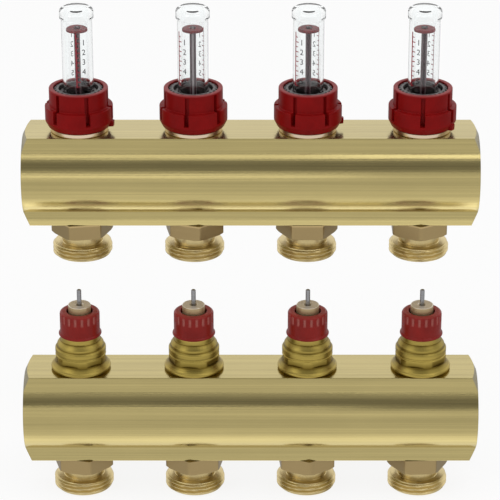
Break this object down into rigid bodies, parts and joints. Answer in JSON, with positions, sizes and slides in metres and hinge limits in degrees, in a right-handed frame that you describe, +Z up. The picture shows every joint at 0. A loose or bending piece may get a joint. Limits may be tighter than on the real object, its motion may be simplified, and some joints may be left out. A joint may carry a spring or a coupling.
{
  "type": "underfloor heating manifold",
  "caption": "Brass underfloor heating manifold: a supply bar with sight-glass flow meters over a return bar with pin valve inserts, threaded outlets below each.",
  "frame": {"origin": "midway between the two bar axes, at the middle of their length, where the wall brackets hold the pair", "axes": "+X along the bars to the right, +Y to the wall behind, +Z up"},
  "size_m": [0.2, 0.0684, 0.2144],
  "materials": {
    "bar_brass": "drawn brass, finely brushed along its length",
    "nipple_brass": "turned brass, bright",
    "meter_brass": "turned brass, bright",
    "valve_brass": "turned brass, a little darker",
    "gland_brass": "turned brass, pale",
    "seal_rubber": "black rubber",
    "spring_steel": "drawn spring wire",
    "pin_steel": "ground stainless pin",
    "dark_plastic": "moulded dark grey plastic",
    "collar_red": "moulded deep red plastic, satin",
    "preset_red": "moulded dark red plastic, satin",
    "clear_glass": "clear moulded plastic",
    "rod_plastic": "dark plastic rod",
    "disc_red": "red plastic disc"
  },
  "bodies": {
    "root": {"supply_bar": "bar_brass", "return_bar": "bar_brass", "supply_nipples": "nipple_brass", "return_nipples": "nipple_brass", "nipple_seals": "seal_rubber", "meter_bodies": "meter_brass", "valve_bodies": "valve_brass", "insert_seals": "seal_rubber", "meter_springs": "spring_steel", "valve_springs": "spring_steel"},
    "adjuster_1": {"adjusting_ring_1": "dark_plastic", "sight_glass_1": "clear_glass"},
    "collar_1": {"lock_collar_1": "collar_red"},
    "throttle_1": {"throttle_sleeve_1": "dark_plastic"},
    "indicator_1": {"indicator_rod_1": "rod_plastic", "indicator_disc_1": "disc_red"},
    "preset_1": {"preset_ring_1": "preset_red", "preset_sleeve_1": "valve_brass", "gland_nut_1": "gland_brass"},
    "pin_1": {"valve_pin_1": "pin_steel", "valve_spindle_1": "valve_brass", "cone_seal_1": "seal_rubber"},
    "adjuster_2": {"adjusting_ring_2": "dark_plastic", "sight_glass_2": "clear_glass"},
    "collar_2": {"lock_collar_2": "collar_red"},
    "throttle_2": {"throttle_sleeve_2": "dark_plastic"},
    "indicator_2": {"indicator_rod_2": "rod_plastic", "indicator_disc_2": "disc_red"},
    "preset_2": {"preset_ring_2": "preset_red", "preset_sleeve_2": "valve_brass", "gland_nut_2": "gland_brass"},
    "pin_2": {"valve_pin_2": "pin_steel", "valve_spindle_2": "valve_brass", "cone_seal_2": "seal_rubber"},
    "adjuster_3": {"adjusting_ring_3": "dark_plastic", "sight_glass_3": "clear_glass"},
    "collar_3": {"lock_collar_3": "collar_red"},
    "throttle_3": {"throttle_sleeve_3": "dark_plastic"},
    "indicator_3": {"indicator_rod_3": "rod_plastic", "indicator_disc_3": "disc_red"},
    "preset_3": {"preset_ring_3": "preset_red", "preset_sleeve_3": "valve_brass", "gland_nut_3": "gland_brass"},
    "pin_3": {"valve_pin_3": "pin_steel", "valve_spindle_3": "valve_brass", "cone_seal_3": "seal_rubber"},
    "adjuster_4": {"adjusting_ring_4": "dark_plastic", "sight_glass_4": "clear_glass"},
    "collar_4": {"lock_collar_4": "collar_red"},
    "throttle_4": {"throttle_sleeve_4": "dark_plastic"},
    "indicator_4": {"indicator_rod_4": "rod_plastic", "indicator_disc_4": "disc_red"},
    "preset_4": {"preset_ring_4": "preset_red", "preset_sleeve_4": "valve_brass", "gland_nut_4": "gland_brass"},
    "pin_4": {"valve_pin_4": "pin_steel", "valve_spindle_4": "valve_brass", "cone_seal_4": "seal_rubber"}
  },
  "joints": [
    {"name": "adjuster_1_turn", "type": "hinge", "parent": "root", "child": "adjuster_1", "pos_m": [-0.075, 0.016, 0.05], "axis": [0, 0, 1], "range_deg": [-720, 0]},
    {"name": "throttle_1_slide", "type": "slide", "parent": "root", "child": "throttle_1", "axis": [0, 0, 1], "range_m": [-0.004, 0]},
    {"name": "collar_1_lift", "type": "slide", "parent": "adjuster_1", "child": "collar_1", "axis": [0, 0, 1], "range_m": [0, 0.0055]},
    {"name": "indicator_1_slide", "type": "slide", "parent": "root", "child": "indicator_1", "axis": [0, 0, 1], "range_m": [-0.022, 0], "stiffness_N_per_m": 20, "springref_m": 0.005, "deforming": ["meter_springs"]},
    {"name": "preset_1_turn", "type": "hinge", "parent": "root", "child": "preset_1", "pos_m": [-0.075, -0.016, -0.05], "axis": [0, 0, 1], "range_deg": [0, 315]},
    {"name": "pin_1_press", "type": "slide", "parent": "root", "child": "pin_1", "axis": [0, 0, 1], "range_m": [-0.003, 0], "stiffness_N_per_m": 1500, "springref_m": 0.005, "deforming": ["valve_springs"]},
    {"name": "adjuster_2_turn", "type": "hinge", "parent": "root", "child": "adjuster_2", "pos_m": [-0.025, 0.016, 0.05], "axis": [0, 0, 1], "range_deg": [-720, 0]},
    {"name": "throttle_2_slide", "type": "slide", "parent": "root", "child": "throttle_2", "axis": [0, 0, 1], "range_m": [-0.004, 0]},
    {"name": "collar_2_lift", "type": "slide", "parent": "adjuster_2", "child": "collar_2", "axis": [0, 0, 1], "range_m": [0, 0.0055]},
    {"name": "indicator_2_slide", "type": "slide", "parent": "root", "child": "indicator_2", "axis": [0, 0, 1], "range_m": [-0.022, 0], "stiffness_N_per_m": 20, "springref_m": 0.005, "deforming": ["meter_springs"]},
    {"name": "preset_2_turn", "type": "hinge", "parent": "root", "child": "preset_2", "pos_m": [-0.025, -0.016, -0.05], "axis": [0, 0, 1], "range_deg": [0, 315]},
    {"name": "pin_2_press", "type": "slide", "parent": "root", "child": "pin_2", "axis": [0, 0, 1], "range_m": [-0.003, 0], "stiffness_N_per_m": 1500, "springref_m": 0.005, "deforming": ["valve_springs"]},
    {"name": "adjuster_3_turn", "type": "hinge", "parent": "root", "child": "adjuster_3", "pos_m": [0.025, 0.016, 0.05], "axis": [0, 0, 1], "range_deg": [-720, 0]},
    {"name": "throttle_3_slide", "type": "slide", "parent": "root", "child": "throttle_3", "axis": [0, 0, 1], "range_m": [-0.004, 0]},
    {"name": "collar_3_lift", "type": "slide", "parent": "adjuster_3", "child": "collar_3", "axis": [0, 0, 1], "range_m": [0, 0.0055]},
    {"name": "indicator_3_slide", "type": "slide", "parent": "root", "child": "indicator_3", "axis": [0, 0, 1], "range_m": [-0.022, 0], "stiffness_N_per_m": 20, "springref_m": 0.005, "deforming": ["meter_springs"]},
    {"name": "preset_3_turn", "type": "hinge", "parent": "root", "child": "preset_3", "pos_m": [0.025, -0.016, -0.05], "axis": [0, 0, 1], "range_deg": [0, 315]},
    {"name": "pin_3_press", "type": "slide", "parent": "root", "child": "pin_3", "axis": [0, 0, 1], "range_m": [-0.003, 0], "stiffness_N_per_m": 1500, "springref_m": 0.005, "deforming": ["valve_springs"]},
    {"name": "adjuster_4_turn", "type": "hinge", "parent": "root", "child": "adjuster_4", "pos_m": [0.075, 0.016, 0.05], "axis": [0, 0, 1], "range_deg": [-720, 0]},
    {"name": "throttle_4_slide", "type": "slide", "parent": "root", "child": "throttle_4", "axis": [0, 0, 1], "range_m": [-0.004, 0]},
    {"name": "collar_4_lift", "type": "slide", "parent": "adjuster_4", "child": "collar_4", "axis": [0, 0, 1], "range_m": [0, 0.0055]},
    {"name": "indicator_4_slide", "type": "slide", "parent": "root", "child": "indicator_4", "axis": [0, 0, 1], "range_m": [-0.022, 0], "stiffness_N_per_m": 20, "springref_m": 0.005, "deforming": ["meter_springs"]},
    {"name": "preset_4_turn", "type": "hinge", "parent": "root", "child": "preset_4", "pos_m": [0.075, -0.016, -0.05], "axis": [0, 0, 1], "range_deg": [0, 315]},
    {"name": "pin_4_press", "type": "slide", "parent": "root", "child": "pin_4", "axis": [0, 0, 1], "range_m": [-0.003, 0], "stiffness_N_per_m": 1500, "springref_m": 0.005, "deforming": ["valve_springs"]}
  ],
  "couplings": [
    {"joint": "throttle_1_slide", "follows": "adjuster_1_turn", "m_per_rad": 0.000318},
    {"joint": "throttle_2_slide", "follows": "adjuster_2_turn", "m_per_rad": 0.000318},
    {"joint": "throttle_3_slide", "follows": "adjuster_3_turn", "m_per_rad": 0.000318},
    {"joint": "throttle_4_slide", "follows": "adjuster_4_turn", "m_per_rad": 0.000318}
  ]
}
